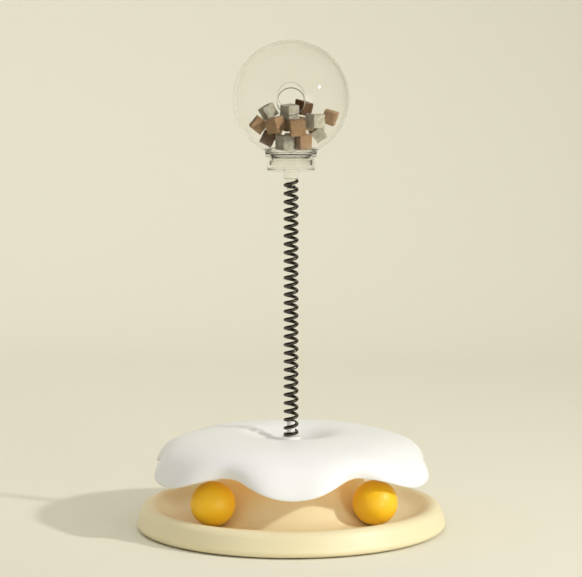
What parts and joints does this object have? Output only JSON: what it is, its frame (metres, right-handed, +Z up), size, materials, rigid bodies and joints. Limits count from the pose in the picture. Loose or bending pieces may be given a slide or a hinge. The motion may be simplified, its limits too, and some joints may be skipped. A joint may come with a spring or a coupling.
{
  "type": "cat slow feeder toy",
  "caption": "Slow feeder toy for cats: balls roll in a ring track under a wavy egg-white cover, and a clear treat globe sways on a coil spring.",
  "frame": {"origin": "on the ground under the middle of the base, at the bottom of the feet", "axes": "+Z up along the spring, -Y towards the front that the picture shows, +X to its right"},
  "size_m": [0.2516, 0.2516, 0.3967],
  "materials": {
    "tray_cream": "satin moulded, cream",
    "plate_cream": "fine matt moulded, cream",
    "cover_white": "satin moulded, egg white",
    "socket_white": "satin moulded, white",
    "ball_yolk": "satin moulded, yolk orange",
    "spring_steel": "drawn wire, blackened",
    "screw_steel": "zinc plated",
    "clear_globe": "clear moulded",
    "clear_cap": "clear moulded",
    "seal_black": "matt",
    "foot_rubber": "matt",
    "treat_brown": "dry, porous",
    "treat_dark": "dry, porous",
    "treat_pale": "dry, porous",
    "treat_cream": "dry, porous"
  },
  "bodies": {
    "base": {"base_tray": "tray_cream", "base_plate": "plate_cream", "plate_screws": "screw_steel", "foot_1": "foot_rubber", "foot_2": "foot_rubber", "foot_3": "foot_rubber", "foot_4": "foot_rubber"},
    "ball_left": {"ball_left": "ball_yolk"},
    "ball_right": {"ball_right": "ball_yolk"},
    "cover": {"cover": "cover_white", "spring_socket": "socket_white", "socket_washer": "screw_steel", "socket_screw": "screw_steel"},
    "stalk": {"spring": "spring_steel"},
    "cap": {"cap": "clear_cap", "cap_seal": "seal_black"},
    "globe": {"globe": "clear_globe", "treat_brown_1": "treat_brown", "treat_brown_2": "treat_brown", "treat_brown_3": "treat_brown", "treat_brown_4": "treat_brown", "treat_brown_5": "treat_brown", "treat_brown_6": "treat_brown", "treat_brown_7": "treat_brown", "treat_dark_1": "treat_dark", "treat_dark_2": "treat_dark", "treat_pale_1": "treat_pale", "treat_pale_2": "treat_pale", "treat_pale_3": "treat_pale", "treat_pale_4": "treat_pale", "treat_pale_5": "treat_pale", "treat_cream_1": "treat_cream", "treat_cream_2": "treat_cream", "treat_cream_3": "treat_cream"}
  },
  "joints": [
    {"name": "ball_left_roll", "type": "hinge", "parent": "base", "child": "ball_left", "pos_m": [0, 0, 0.0323], "axis": [0, 0, 1], "range_deg": [-124.5, 31.5]},
    {"name": "ball_right_roll", "type": "hinge", "parent": "base", "child": "ball_right", "pos_m": [0, 0, 0.0323], "axis": [0, 0, 1], "range_deg": [-36, 120]},
    {"name": "cover_lift", "type": "slide", "parent": "base", "child": "cover", "axis": [0, 0, 1], "range_m": [0, 0.03]},
    {"name": "stalk_sway", "type": "hinge", "parent": "cover", "child": "stalk", "pos_m": [0, 0, 0.128], "axis": [0, 1, 0], "range_deg": [-35, 35], "stiffness_Nm_per_rad": 0.9, "deforming": ["spring"]},
    {"name": "head_sway", "type": "hinge", "parent": "stalk", "child": "cap", "pos_m": [0, 0, 0.232], "axis": [1, 0, 0], "range_deg": [-35, 35], "stiffness_Nm_per_rad": 0.9, "deforming": ["spring"]},
    {"name": "globe_pull", "type": "slide", "parent": "cap", "child": "globe", "axis": [0, 0, 1], "range_m": [0, 0.02]}
  ]
}
